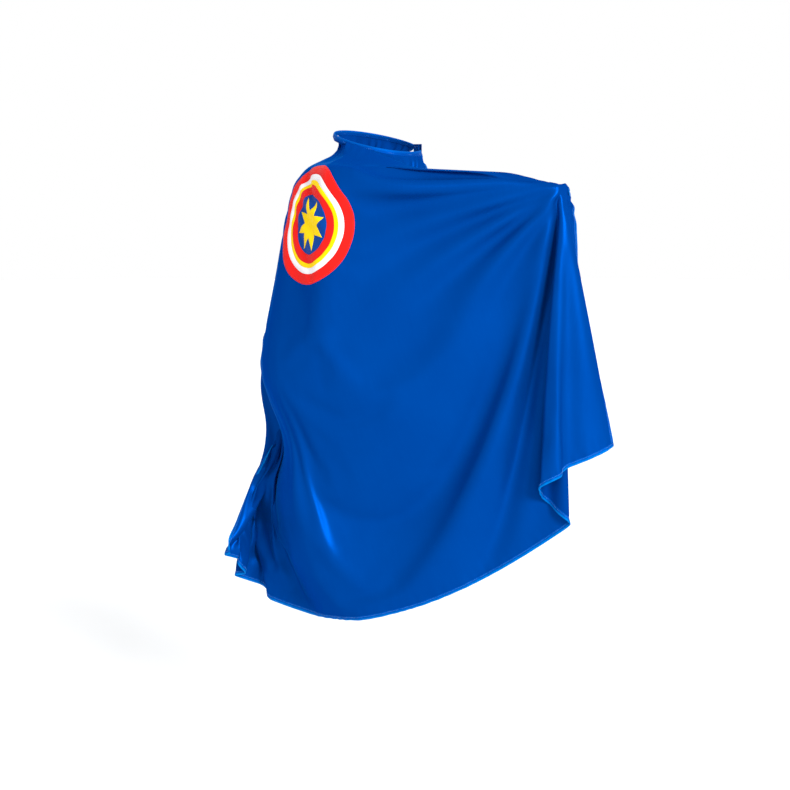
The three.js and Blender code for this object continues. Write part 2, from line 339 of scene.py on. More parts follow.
def hangCloth():
    cloth, flat, across, down = makeLooseCloth()
    bones = [addBone(name, *shape) for name, shape in wearer.items()]
    columns, rows = draping["columns"], draping["rows"]
    column = np.rint(across * columns).astype(int)
    row = np.rint(down * rows).astype(int)
    pinned = cloth.vertex_groups.new(name="pinned")
    for heldRow, firmness in enumerate(hold["neckGrip"]):
        pinned.add(np.flatnonzero(row == heldRow).tolist(), firmness, "REPLACE")

    gripAcross, gripDown = hold["grip"]
    halfWide, halfTall = hold["gripSize"]
    inGrip = (np.abs(across - gripAcross) * widthAt(gripDown) < halfWide) & (
        np.abs(down - gripDown) * dropAt(hold["gripDropAt"]) < halfTall
    )
    start = Vector(startPlaces(np.array(gripAcross), np.array(gripDown)))
    end = Vector(hold["gripPlace"])
    moveFrames = draping["moveFrames"]
    halfWay = start.lerp(end, 0.5) + Vector(hold["gripPath"])
    held = np.flatnonzero(inGrip).tolist()
    moves = [(moveFrames // 2, halfWay), (moveFrames, end)]
    gathered, turned = hold["gripGathered"], hold["gripTurn"]
    handles = [holdVertices(cloth, "grip", held, start, moves, gathered, turned)]
    pinned.add(held, 1.0, "REPLACE")
    sides = (("leftCorner", 0.0, column <= 1), ("rightCorner", 1.0, column >= columns - 1))
    for name, side, atSide in sides:
        corner = np.flatnonzero(atSide & (row >= rows - 1)).tolist()
        first = Vector(startPlaces(np.array(side), np.array(1.0)))
        by, end = hold[name]
        moves = [(moveFrames // 2, by), (moveFrames + hold["cornerDelay"], end)]
        handles.append(holdVertices(cloth, name, corner, first, moves))
        pinned.add(corner, hold["cornerGrip"], "REPLACE")

    fabric = cloth.modifiers.new("Cloth", "CLOTH")
    fabric.point_cache.frame_end = draping["frames"]
    settings = fabric.settings
    settings.quality = draping["quality"]
    settings.mass = draping["vertexMass"]
    settings.tension_stiffness = draping["tension"]
    settings.compression_stiffness = draping["compression"]
    settings.shear_stiffness = draping["shear"]
    settings.bending_stiffness = draping["bending"]
    settings.tension_damping = draping["damping"]
    settings.compression_damping = draping["damping"]
    settings.shear_damping = draping["damping"]
    settings.bending_damping = draping["bendingDamping"]
    settings.air_damping = draping["air"]
    settings.vertex_group_mass = "pinned"
    settings.rest_shape_key = flat
    fabric.collision_settings.collision_quality = draping["collisionQuality"]
    fabric.collision_settings.distance_min = draping["clearance"]
    scene.frame_start = 1
    scene.frame_end = draping["frames"]
    for step in range(1, draping["frames"] + 1):
        scene.frame_set(step)

    shown = cloth.evaluated_get(bpy.context.evaluated_depsgraph_get()).to_mesh()
    places = np.zeros(len(shown.vertices) * 3)
    shown.vertices.foreach_get("co", places)
    hung = np.zeros((rows + 1, columns + 1, 3))
    hung[row, column] = places.reshape(-1, 3)
    scene.frame_set(1)
    for helper in [cloth, *bones, *handles]:
        bpy.data.objects.remove(helper)
    return hung


hung = hangCloth()
print("cloth hung between", hung.min(axis=(0, 1)).round(3), "and", hung.max(axis=(0, 1)).round(3))

# Settling the hung cloth, then reading it at any place of the pattern with small creases added

settling = {
    "collarSlope": 0.55,
    "collarReach": 0.06,
    "collarClear": 0.001,
    "collarYield": 0.9,
    "tuckDepth": 0.036,
    "tuckHeights": (-0.50, 0.085),  # middle and reach
    "tuckSide": (0.10, 0.21),  # begins and is full this far to the left
    "nearSide": -0.215,
    "farSide": 0.100,
    "depthKept": 0.45,  # how much of a fold is left beyond the near and far sides
}


def settleCollar(grid):
    # cloth that stands up in front of the neckline falls below it
    angle = np.arctan2(grid[..., 1] / neckline["halfDepth"], grid[..., 0] / neckline["halfWidth"])
    ringX = neckline["halfWidth"] * np.cos(angle)
    ringY = neckline["halfDepth"] * np.sin(angle)
    outside = np.hypot(grid[..., 0], grid[..., 1]) - np.hypot(ringX, ringY)
    ringZ = neckline["height"] + neckline["tilt"] * np.cos(angle - neckline["napeAngle"])
    fall = settling["collarSlope"] * np.clip(outside, 0, settling["collarReach"])
    over = np.maximum(0, grid[..., 2] - (ringZ - fall))
    over[outside < settling["collarClear"]] = 0
    settled = grid.copy()
    settled[..., 2] -= settling["collarYield"] * over
    return settled


def tuckSide(grid):
    # the left side is drawn in under the seat, and no fold strays far forwards or back
    middle, reach = settling["tuckHeights"]
    share = ease(*settling["tuckSide"], -grid[..., 0])
    share = share * np.exp(-(((grid[..., 2] - middle) / reach) ** 2))
    tucked = grid.copy()
    tucked[..., 0] += settling["tuckDepth"] * share
    y = grid[..., 1]
    beyond = np.maximum(0, y - settling["farSide"]) + np.minimum(0, y - settling["nearSide"])
    tucked[..., 1] -= (1 - settling["depthKept"]) * beyond
    return tucked


def extendEdges(grid):
    # one more row and column all round, for the spline
    for axis in (0, 1):
        first, second, beforeLast, last = (grid.take([i], axis) for i in (0, 1, -2, -1))
        grid = np.concatenate([2 * first - second, grid, 2 * last - beforeLast], axis=axis)
    return grid


hungGrid = extendEdges(tuckSide(settleCollar(hung)))


def splineWeights(t):
    # cubic B-spline
    return [
        (1 - t) ** 3 / 6,
        (3 * t**3 - 6 * t**2 + 4) / 6,
        (3 * t + 3 * t**2 - 3 * t**3 + 1) / 6,
        t**3 / 6,
    ]


def clothAt(across, down):
    column = across * draping["columns"]
    row = down * draping["rows"]
    left = np.clip(np.floor(column), 0, draping["columns"] - 1).astype(int)
    top = np.clip(np.floor(row), 0, draping["rows"] - 1).astype(int)
    place = 0
    for i, columnWeight in enumerate(splineWeights(column - left)):
        for j, rowWeight in enumerate(splineWeights(row - top)):
            place = place + (columnWeight * rowWeight)[..., None] * hungGrid[top + j, left + i]
    return place


creases = {
    "neckDepth": 0.0013,
    "neckPitch": 0.0145,
    "neckReach": (0.008, 0.020, 0.075),  # begins, full, gone
    "neckWander": (1.4, 0.03, 0.4),  # amount, pitch, start
    "hemDepth": 0.0005,
    "hemPitch": 0.021,
    "hemReach": (0.004, 0.030),  # full, gone
    "hemWander": (1.8, 0.05, 1.9),
    "gripDepth": 0.0016,
    "gripRays": 13,
    "gripBend": (1.3, 2, 0.5),
    "gripReach": (0.015, 0.040, 0.040, 0.085),  # begins, full, fades, gone
    "pullDepth": 0.0068,
    "pullRays": 19,
    "pullBend": (1.2, 3, 8),  # amount, per turn, per metre
    "pullReach": (0.04, 0.15, 0.20, 0.42),
    "pullSector": (2.7, 3.1, 4.0, 4.5),  # radians round the held place
}


def wander(value, start):
    return np.sin(2.1 * value + start) + 0.6 * np.sin(4.7 * value + 2.3 * start)


def withinReach(reach, value):
    begins, full, fades, gone = reach
    return ease(begins, full, value) * (1 - ease(fades, gone, value))


def rippled(arc, pitch, wandering):
    amount, wanderPitch, start = wandering
    return np.sin(2 * math.pi * arc / pitch + amount * wander(arc / wanderPitch, start))


def creaseDepth(x, y):
    across, down = sharesOf(x, y)
    begins, full, gone = creases["neckReach"]
    gather = rippled(across * cut["neckLength"], creases["neckPitch"], creases["neckWander"])
    fade = withinReach((begins, full, full, gone), down * dropAt(across))
    depth = creases["neckDepth"] * gather * fade
    pucker = rippled(across * widthAt(1.0), creases["hemPitch"], creases["hemWander"])
    aboveHem = (1 - down) * dropAt(across)
    depth = depth + creases["hemDepth"] * pucker * (1 - ease(*creases["hemReach"], aboveHem))
    gripX, gripY = patternPoint(*hold["grip"])
    reach = np.hypot(x - gripX, y - gripY)
    turn = np.arctan2(y - gripY, x - gripX)
    amount, perTurn, start = creases["gripBend"]
    rays = np.sin(creases["gripRays"] * turn + amount * np.sin(perTurn * turn + start))
    depth = depth + creases["gripDepth"] * rays * withinReach(creases["gripReach"], reach)
    amount, perTurn, perMetre = creases["pullBend"]
    pulls = np.sin(creases["pullRays"] * turn + amount * np.sin(perTurn * turn + perMetre * reach))
    sector = withinReach(creases["pullSector"], np.mod(turn, 2 * math.pi))
    return depth + creases["pullDepth"] * pulls * withinReach(creases["pullReach"], reach) * sector


def placeOnCloth(x, y, lift=0.0):
    step = 0.0015
    place = clothAt(*sharesOf(x, y))
    sideways = clothAt(*sharesOf(x + step, y)) - clothAt(*sharesOf(x - step, y))
    upwards = clothAt(*sharesOf(x, y + step)) - clothAt(*sharesOf(x, y - step))
    normal = np.cross(sideways, upwards)
    normal = normal / np.linalg.norm(normal, axis=-1, keepdims=True)
    return place + normal * (lift + creaseDepth(x, y))[..., None], normal


# Shader maths: a wrapped socket takes sums and products as Math nodes


class Wire:
    def __init__(self, tree, socket=None):
        self.tree = tree
        self.socket = socket

    def node(self, kind, settings=None, inputs=None, output=0):
        made = self.tree.nodes.new(kind)
        for name, value in (settings or {}).items():
            if name == "stops":
                ramp = made.color_ramp
                for i, (position, colour) in enumerate(value):
                    stop = ramp.elements[i] if i < 2 else ramp.elements.new(position)
                    stop.position = position
                    stop.color = colour
            else:
                setattr(made, name, value)
        for name, value in (inputs or {}).items():
            if isinstance(value, Wire):
                self.tree.links.new(value.socket, made.inputs[name])
            else:
                made.inputs[name].default_value = value
        return Wire(self.tree, made.outputs[output])

    def math(self, operation, *values):
        return self.node("ShaderNodeMath", {"operation": operation}, dict(enumerate(values)))

    def __add__(self, other):
        return self.math("ADD", self, other)

    def __radd__(self, other):
        return self.math("ADD", other, self)

    def __sub__(self, other):
        return self.math("SUBTRACT", self, other)

    def __rsub__(self, other):
        return self.math("SUBTRACT", other, self)

    def __mul__(self, other):
        return self.math("MULTIPLY", self, other)

    def __rmul__(self, other):
        return self.math("MULTIPLY", other, self)

    def blendColours(self, first, second):
        return self.node(
            "ShaderNodeMix", {"data_type": "RGBA"}, {"Factor": self, 6: first, 7: second}, output=2
        )


def newFinish(name, **constants):
    material = bpy.data.materials.new(name)
    material.use_nodes = True
    tree = material.node_tree
    shader = tree.nodes["Principled BSDF"]
    for socket, value in constants.items():
        shader.inputs[socket.replace("_", " ")].default_value = value
    return material, Wire(tree), shader


def plug(wire, shader, socket):
    wire.tree.links.new(wire.socket, shader.inputs[socket])


def patternPlace(pen):
    uv = pen.node("ShaderNodeUVMap", {"uv_map": "pattern"})
    x = pen.node("ShaderNodeSeparateXYZ", inputs={0: uv}, output=0)
    y = pen.node("ShaderNodeSeparateXYZ", inputs={0: uv}, output=1)
    return uv, x, y


def cloudiness(pen, place, scale, detail=3.0, roughness=0.55):
    return pen.node(
        "ShaderNodeTexNoise", {},
        {"Vector": place, "Scale": scale, "Detail": detail, "Roughness": roughness},
    )


def stretched(pen, place, scale):
    return pen.node("ShaderNodeMapping", {}, {"Vector": place, "Scale": scale})


def bumped(pen, height, strength, distance, shader):
    values = {"Height": height, "Strength": strength, "Distance": distance}
    plug(pen.node("ShaderNodeBump", {}, values), shader, "Normal")


weave = {
    "threadPitch": 0.00055,
    "twillLean": 0.5,
    "bumpDepth": 0.00005,
    "ribPitch": 0.0007,
}


def satinFinish(name, deep, clear, roughness, metallic):
    material, pen, shader = newFinish(
        name, Specular_IOR_Level=0.0, Specular_Tint=(0.05, 0.4, 1.0, 1), Sheen_Weight=0.14,
        Sheen_Roughness=0.35, Sheen_Tint=(0.0, 0.32, 1.0, 1), Metallic=metallic,
    )
    uv, x, y = patternPlace(pen)
    cloud = cloudiness(pen, uv, 9.0)
    streaks = cloudiness(pen, stretched(pen, uv, (420.0, 14.0, 1.0)), 1.0, 2.0)
    shade = cloud * 0.75 + streaks * 0.25
    plug(shade.blendColours(deep, clear), shader, "Base Color")
    plug(roughness - 0.05 + streaks * 0.10, shader, "Roughness")
    turns = 2 * math.pi / weave["threadPitch"]
    twill = pen.math("SINE", x * turns + y * (turns * weave["twillLean"]))
    height = twill * 0.5 + streaks
    bumped(pen, height, 0.35, weave["bumpDepth"], shader)
    return material


def hemFinish(name, deep, paintedHighlightColour, width):
    material, pen, shader = newFinish(
        name, Specular_IOR_Level=0.02, Specular_Tint=(0.05, 0.5, 1.0, 1), Sheen_Weight=0.15,
        Sheen_Roughness=0.4, Sheen_Tint=(0.0, 0.4, 1.0, 1), Metallic=0.25,
    )
    uv, x, inward = patternPlace(pen)
    streaks = cloudiness(pen, stretched(pen, uv, (60.0, 500.0, 1.0)), 1.0, 2.0)
    # painted highlight: the base colour is a lighter blue at the rolled outer edge of the band and
    # fades to the deeper blue further in, standing in for sheen catching on the fold; the streaks add
    # random tone
    limits = {"From Min": 0.10 * width, "From Max": 0.62 * width, "To Min": 1.0, "To Max": 0.0}
    paintedEdgeHighlight = pen.node(
        "ShaderNodeMapRange", {"interpolation_type": "SMOOTHSTEP"}, {"Value": inward, **limits}
    )
    shade = paintedEdgeHighlight * 0.85 + streaks * 0.15
    plug(shade.blendColours(deep, paintedHighlightColour), shader, "Base Color")
    plug(0.42 + streaks * 0.12, shader, "Roughness")
    turns = 2 * math.pi / weave["threadPitch"]
    twill = pen.math("SINE", x * turns + inward * turns)
    puckers = cloudiness(pen, stretched(pen, uv, (300.0, 90.0, 1.0)), 1.0, 1.0)
    bumped(pen, twill * 0.15 + puckers * 2.0, 0.5, 0.00025, shader)
    return material


def filmFinish(name, colour, darker):
    material, pen, shader = newFinish(
        name, Specular_IOR_Level=0.03, Sheen_Weight=0.02, Sheen_Roughness=0.5,
    )
    uv, x, y = patternPlace(pen)
    cloud = cloudiness(pen, uv, 24.0)
    grain = cloudiness(pen, uv, 900.0, 2.0)
    plug((cloud * 0.7 + grain * 0.3).blendColours(darker, colour), shader, "Base Color")
    plug(0.40 + grain * 0.14, shader, "Roughness")
    turns = 2 * math.pi / (1.6 * weave["threadPitch"])
    net = pen.math("SINE", x * turns) * 0.5 + pen.math("SINE", y * turns) * 0.5
    bumped(pen, net + grain * 0.8, 0.3, 0.00006, shader)
    return material


def threadFinish(name, colour, darker):
    material, pen, shader = newFinish(
        name, Specular_IOR_Level=0.3, Sheen_Weight=0.4, Sheen_Roughness=0.5,
    )
    place = pen.node("ShaderNodeTexCoord", output=3)
    fibres = cloudiness(pen, place, 2600.0, 2.0)
    plug(fibres.blendColours(darker, colour), shader, "Base Color")
    plug(0.5 + fibres * 0.2, shader, "Roughness")
    bumped(pen, fibres, 0.4, 0.0001, shader)
    return material


def tapeFinish(name, colour, darker, pile):
    material, pen, shader = newFinish(
        name, Specular_IOR_Level=0.05, Sheen_Weight=pile, Sheen_Roughness=0.6,
        Sheen_Tint=(0.06, 0.20, 0.70, 1),
    )
    place = pen.node("ShaderNodeTexCoord", output=3)
    fluff = cloudiness(pen, place, 1400.0, 4.0, 0.7)
    cloud = cloudiness(pen, place, 160.0, 2.0)
    plug((fluff * 0.7 + cloud * 0.3).blendColours(darker, colour), shader, "Base Color")
    plug(0.72 + fluff * 0.2, shader, "Roughness")
    bumped(pen, fluff, 0.6, 0.0003, shader)
    return material


def ribbonFinish(name, colour, darker):
    material, pen, shader = newFinish(
        name, Specular_IOR_Level=0.35, Sheen_Weight=0.15, Sheen_Roughness=0.4,
    )
    uv, _, y = patternPlace(pen)
    ribs = pen.math("SINE", y * (2 * math.pi / weave["ribPitch"]))
    grain = cloudiness(pen, uv, 700.0, 2.0)
    plug((ribs * 0.2 + grain * 0.6 + 0.2).blendColours(darker, colour), shader, "Base Color")
    plug(0.45 + grain * 0.15, shader, "Roughness")
    bumped(pen, ribs * 0.5 + grain, 0.4, 0.0001, shader)
    return material


finishes = {
    "satin": satinFinish("blueSatin", (0.0, 0.034, 0.205, 1), (0.0, 0.047, 0.260, 1), 0.37, 0.36),
    "reverse": satinFinish("satinReverse", (0.0, 0.026, 0.17, 1), (0.0, 0.036, 0.21, 1), 0.62, 0.08),
    # hem and binding: the second colour is a painted highlight, the lighter blue laid along the rolled
    # edge of the band
    "hem": hemFinish("foldedHem", (0.0, 0.045, 0.27, 1), (0.0, 0.15, 0.50, 1), 0.008),
    "binding": hemFinish("neckBindingCloth", (0.0, 0.042, 0.25, 1), (0.0, 0.075, 0.36, 1), 0.009),
    "thread": threadFinish("blueThread", (0.04, 0.26, 0.72, 1), (0.01, 0.15, 0.5, 1)),
    "red": filmFinish("redFilm", (0.72, 0.014, 0.010, 1), (0.64, 0.010, 0.008, 1)),
    "white": filmFinish("whiteFilm", (0.80, 0.77, 0.79, 1), (0.72, 0.70, 0.72, 1)),
    "yellow": filmFinish("yellowFilm", (0.90, 0.62, 0.002, 1), (0.82, 0.55, 0.001, 1)),
    "blue": filmFinish("blueFilm", (0.001, 0.048, 0.27, 1), (0.0, 0.040, 0.23, 1)),
    "redThread": threadFinish("redThread", (0.66, 0.016, 0.012, 1), (0.46, 0.009, 0.007, 1)),
    "hookTape": tapeFinish("hookTape", (0.012, 0.035, 0.15, 1), (0.004, 0.014, 0.07, 1), 0.1),
    "loopTape": tapeFinish("loopTape", (0.016, 0.045, 0.19, 1), (0.006, 0.018, 0.09, 1), 0.6),
    "label": ribbonFinish("whiteRibbon", (0.85, 0.85, 0.83, 1), (0.70, 0.70, 0.68, 1)),
}
print("materials ready")

# Pieces are shaped flat, on the pattern, and then laid onto the hung cloth


def layOnCloth(bm, uvs=None):
    flat = np.array([v.co[:] for v in bm.verts])
    places, _ = placeOnCloth(flat[:, 0], flat[:, 1], flat[:, 2])
    uvLayer = bm.loops.layers.uv.new("pattern")
    shown = flat[:, :2] if uvs is None else uvs
    bm.verts.index_update()
    for face in bm.faces:
        for loop in face.loops:
            loop[uvLayer].uv = shown[loop.vert.index]
    for vertex, place in zip(bm.verts, places):
        vertex.co = place


def finishPiece(name, bm, finish, replaced=(), body="cape"):
    mesh = bpy.data.meshes.new(name)
    bm.to_mesh(mesh)
    bm.free()
    mesh.shade_smooth()
    for each in [finish] if isinstance(finish, str) else finish:
        mesh.materials.append(finishes[each])
    piece = addToScene(name, mesh)
    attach(piece, body)
    if replaced:
        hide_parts(*replaced)
    return piece


panel = {
    "columns": 250,
    "rows": 140,
    "edgeInset": 0.0025,  # hidden inside the hems
}


def makePanel():
    bm = bmesh.new()
    bmesh.ops.create_grid(bm, x_segments=panel["columns"], y_segments=panel["rows"], size=0.5)
    across, down = gridShares(bm)
    acrossInset = panel["edgeInset"] / widthAt(down, across)
    downInset = panel["edgeInset"] / dropAt(across)
    x, y = patternPoint(
        acrossInset + across * (1 - 2 * acrossInset), downInset + down * (1 - 2 * downInset)
    )
    for vertex, place in zip(bm.verts, np.stack([x, y], axis=-1)):
        vertex.co = (place[0], place[1], 0)
    layOnCloth(bm)
    piece = finishPiece("capePanel", bm, ["satin", "reverse"], ["cape_panel"])
    wall = piece.modifiers.new("clothThickness", "SOLIDIFY")
    wall.thickness = cut["thickness"]
    wall.offset = 0
    wall.material_offset = 1
    wall.material_offset_rim = 0
    return piece


# Hems and neck binding: folded bands round the edges, each with its line of stitches

edging = {
    "hemWidth": 0.008,
    "bindingWidth": 0.009,
    "thickness": 0.0022,
    "overlap": 0.001,  # of a front hem with the binding and the bottom hem
    "step": 0.0035,
    "roundSteps": 20,
    "roundPowers": (0.6, 0.75),  # squareness of the section, across and through
    "plump": (0.12, 0.012, 0.7),  # amount, pitch, start
    "stitchLine": 0.0058,  # from the edge
    "stitchPinch": 0.40,
    "pinchReach": 0.0011,
    "stitchPitch": 0.0028,
    "stitchLength": 0.0021,
    "stitchWidth": 0.0005,
    "stitchHeight": 0.0004,
    "stitchProud": 0.00005,
    "aheadShare": 0.001,  # how far along its route a stitch looks for its direction
}


def alongBottom(share, inward):
    return patternPoint(share, 1 - inward / dropAt(share))


def alongNeck(share, inward):
    return patternPoint(share, inward / dropAt(share))


def alongFront(side):
    def edge(share, inward):
        drop = cut["dropFront"]
        top = (edging["bindingWidth"] - edging["overlap"]) / drop
        down = top + share * (1 - (edging["hemWidth"] - edging["overlap"]) / drop - top)
        across = inward / widthAt(down, 0.0)
        return patternPoint(across if side == "left" else 1 - across, down)

    return edge


bands = {
    # name: route, its length, finish, CAD nodes of the band and of its stitches
    "bottomHem": (alongBottom, widthAt(1.0), "hem", "bottom_hem", "bottom_hem_thread"),
    "leftFrontHem": (
        alongFront("left"), cut["dropFront"], "hem", "left_front_hem", "left_hem_thread",
    ),
    "rightFrontHem": (
        alongFront("right"), cut["dropFront"], "hem", "right_front_hem", "right_hem_thread",
    ),
    "neckBinding": (alongNeck, cut["neckLength"], "binding", "neck_binding", "neck_thread"),
}


def signedPower(value, power):
    return np.sign(value) * np.abs(value) ** power


def makeBand(name, route, length, finish, node):
    bm = bmesh.new()
    steps = round(length / edging["step"])
    bmesh.ops.create_grid(bm, x_segments=steps, y_segments=edging["roundSteps"], size=0.5)
    share, turn = gridShares(bm)
    turn = 2 * math.pi * turn
    powerAcross, powerThrough = edging["roundPowers"]
    inward = 0.5 * edging[finish + "Width"] * (1 - signedPower(np.cos(turn), powerAcross))
    fromStitches = (inward - edging["stitchLine"]) / edging["pinchReach"]
    pinch = 1 - edging["stitchPinch"] * np.exp(-(fromStitches**2))
    amount, pitch, start = edging["plump"]
    plump = 1 + amount * wander(share * length / pitch, start)
    lift = 0.5 * edging["thickness"] * signedPower(np.sin(turn), powerThrough) * pinch * plump
    x, y = route(share, inward)
    for vertex, place in zip(bm.verts, np.stack([x, y, lift], axis=-1)):
        vertex.co = place
    layOnCloth(bm, np.stack([share * length, inward], axis=-1))
    bmesh.ops.remove_doubles(bm, verts=bm.verts, dist=0.00001)
    bmesh.ops.holes_fill(bm, edges=[e for e in bm.edges if e.is_boundary], sides=0)
    bmesh.ops.recalc_face_normals(bm, faces=bm.faces)
    return finishPiece(name, bm, finish, [node])


def addStitches(bm, x, y, aheadX, aheadY, lift, size):
    places, normals = placeOnCloth(x, y, lift)
    ahead, _ = placeOnCloth(aheadX, aheadY, lift)
    length, width, height = size
    for place, normal, forwards in zip(places, normals, ahead - places):
        forwards = Vector(forwards).normalized()
        side = Vector(normal).cross(forwards).normalized()
        axes = (forwards * length / 2, side * width / 2, Vector(normal) * height / 2)
        matrix = Matrix.Translation(place) @ Matrix(axes).transposed().to_4x4()
        bmesh.ops.create_icosphere(bm, subdivisions=1, radius=1, matrix=matrix)


def makeBandStitches(name, route, length, node):
    bm = bmesh.new()
    count = int(length / edging["stitchPitch"])
    share = (np.arange(count) + 0.5) / count
    inward = edging["stitchLine"] + 0 * share
    x, y = route(share, inward)
    aheadX, aheadY = route(share + edging["aheadShare"], inward)
    size = (edging["stitchLength"], edging["stitchWidth"], edging["stitchHeight"])
    proud = 0.5 * edging["thickness"] * (1 - edging["stitchPinch"]) + edging["stitchProud"]
    for side in (1, -1):
        addStitches(bm, x, y, aheadX, aheadY, side * proud + 0 * share, size)
    return finishPiece(name, bm, "thread", [node])


capePanel = makePanel()
for name, (route, length, finish, node, threadNode) in bands.items():
    makeBand(name, route, length, finish, node)
    makeBandStitches(name + "Stitches", route, length, threadNode)
print("panel and hems laid")

# Applique: rings, disc and star of film, sewn on round the outside

emblem = {
    "below": 0.185,  # centre under the neckline
    "aside": -0.012,  # from the centre back
    "discRadius": 0.048,
    "innerRedRadius": 0.062,
    "yellowRadius": 0.069,
    "whiteRadius": 0.0785,
    "outerRadius": 0.095,
    "underside": 0.0001,
    "topside": 0.0008,
    "edgeRound": 0.0003,
    "steps": 144,
    "radialStep": 0.004,
    "starPoints": 8,
    "starTip": 0.044,
    "starValley": 0.022,
    "starTopside": 0.0012,
    "starSunk": 0.0001,
    "starCuts": 6,
    "stitchInset": 0.0022,
    "stitchPitch": 0.0024,
    "stitchSize": (0.0018, 0.0004, 0.00035),
    "aheadTurn": 0.004,
}


def layEmblem(name, bm, colour, node):
    bmesh.ops.recalc_face_normals(bm, faces=bm.faces)
    bmesh.ops.translate(bm, verts=bm.verts, vec=(emblem["aside"], -emblem["below"], 0))
    layOnCloth(bm)
    return finishPiece(name, bm, colour, [node])


def makeRing(name, inner, outer, colour, node):
    bm = bmesh.new()
    low, high, edge = emblem["underside"], emblem["topside"], emblem["edgeRound"]
    topStart = inner + edge if inner else 0.0
    count = max(2, round((outer - inner) / emblem["radialStep"]))
    top = [(radius, high) for radius in np.linspace(topStart, outer - edge, count + 1)]
    bottom = [(radius, low) for radius in np.linspace(outer, inner, count + 1)]
    rim = [(outer, high - edge)]
    inside = [(inner, high - edge)] if inner else []
    outline = [bm.verts.new((radius, 0, lift)) for radius, lift in top + rim + bottom + inside]
    closing = outline if inner else outline[:-1]
    for a, b in zip(closing, outline[1:] + outline[:1]):
        bm.edges.new((a, b))
    bmesh.ops.spin(
        bm, geom=bm.verts[:] + bm.edges[:], cent=(0, 0, 0), axis=(0, 0, 1),
        angle=2 * math.pi, steps=emblem["steps"], use_merge=True,
    )
    bmesh.ops.remove_doubles(bm, verts=bm.verts, dist=0.00001)
    return layEmblem(name, bm, colour, node)


def makeStar():
    bm = bmesh.new()
    made = bmesh.ops.create_circle(
        bm, cap_ends=True, cap_tris=True, segments=2 * emblem["starPoints"], radius=emblem["starTip"]
    )
    rim = [v for v in made["verts"] if v.co.length > 0.5 * emblem["starTip"]]
    for vertex in rim:
        turn = math.atan2(vertex.co.x, vertex.co.y) * emblem["starPoints"] / math.pi
        if round(turn) % 2:
            vertex.co *= emblem["starValley"] / emblem["starTip"]
    bmesh.ops.subdivide_edges(bm, edges=bm.edges, cuts=emblem["starCuts"], use_grid_fill=True)
    raised = bmesh.ops.extrude_face_region(bm, geom=bm.faces[:])
    moved = [v for v in raised["geom"] if isinstance(v, bmesh.types.BMVert)]
    underside = emblem["topside"] - emblem["starSunk"]
    bmesh.ops.translate(bm, verts=bm.verts, vec=(0, 0, underside))
    bmesh.ops.translate(bm, verts=moved, vec=(0, 0, emblem["starTopside"] - underside))
    return layEmblem("emblemStar", bm, "yellow", "emblem_star")


def makeEmblemStitches():
    bm = bmesh.new()
    radius = emblem["outerRadius"] - emblem["stitchInset"]
    count = int(2 * math.pi * radius / emblem["stitchPitch"])
    turn = 2 * math.pi * np.arange(count) / count
    ahead = turn + emblem["aheadTurn"]
    x, y = emblem["aside"], -emblem["below"]
    addStitches(
        bm, x + radius * np.cos(turn), y + radius * np.sin(turn),
        x + radius * np.cos(ahead), y + radius * np.sin(ahead),
        emblem["topside"] + 0 * turn, emblem["stitchSize"],
    )
    return finishPiece("emblemStitches", bm, "redThread")


rings = [
    # name, inner and outer radius, colour, CAD node
    ("emblemOuterRing", "whiteRadius", "outerRadius", "red", "emblem_outer_ring"),
    ("emblemWhiteRing", "yellowRadius", "whiteRadius", "white", "emblem_white_ring"),
    ("emblemYellowRing", "innerRedRadius", "yellowRadius", "yellow", "emblem_yellow_ring"),
    ("emblemInnerRing", "discRadius", "innerRedRadius", "red", "emblem_inner_ring"),
    ("emblemDisc", None, "discRadius", "blue", "emblem_disc"),
]
for name, innerName, outerName, colour, node in rings:
    inner = emblem[innerName] if innerName else 0.0
    makeRing(name, inner, emblem[outerName], colour, node)
makeStar()
makeEmblemStitches()
print("applique laid")

# Closure: two tabs that lap over the gap in the neckline, with hook and loop patches

closure = {
    "length": 0.037,
    "height": 0.018,
    "thickness": 0.0014,
    "corner": 0.005,
    "drop": 0.004,
    "rootGap": 0.0025,
    "rootTuck": 0.0020,  # sewn in under the binding
    "edge": 0.0005,
    "pressedIn": ((0.0012, -0.00022), (0.0009, 0.00018)),  # reach and depth of the turned edge
    "patchLength": 0.030,
    "patchHeight": 0.013,
    "patchThickness": 0.0008,
    "patchInset": 0.004,
    "patchCorner": 0.0012,
    "patchEdge": 0.0001,
    "backingShare": 0.6,  # of the patch thickness, the rest is pile
    "layerGap": 0.00015,
    "stitchInset": 0.0015,
    "stitchPitch": 0.0023,
    "stitchReach": (0.0009, 0.00025, 0.0002),  # half of its length, width and height
    "stitchProud": 0.00002,
    "pileMargin": 0.002,
    "pileSunk": 0.2,  # of the patch thickness
    "pileStagger": 0.25,
    "wire": 0.00009,
    "archShare": 0.4,  # radius of an arch in its height
    "hookHeight": 0.0010,
    "hookPitch": 0.0013,
    "hookSweep": math.radians(215),
    "loopHeight": 0.0009,
    "loopPitch": 0.0012,
    "loopSweep": math.radians(178),
}
gapEnds = {"left": Vector(neckPoint(0.0)), "right": Vector(neckPoint(1.0))}
acrossGap = ((gapEnds["left"] - gapEnds["right"]) * Vector((1, 1, 0))).normalized()
outwards = Vector((acrossGap.y, -acrossGap.x, 0))
tabLevel = (gapEnds["left"].z + gapEnds["right"].z) / 2 - closure["drop"]
patchOuter = closure["layerGap"] + closure["patchThickness"]
tabInner = patchOuter + 2 * closure["layerGap"]
tabMiddle = tabInner + closure["thickness"] / 2
patchStart = closure["length"] - closure["patchInset"] - closure["patchLength"]


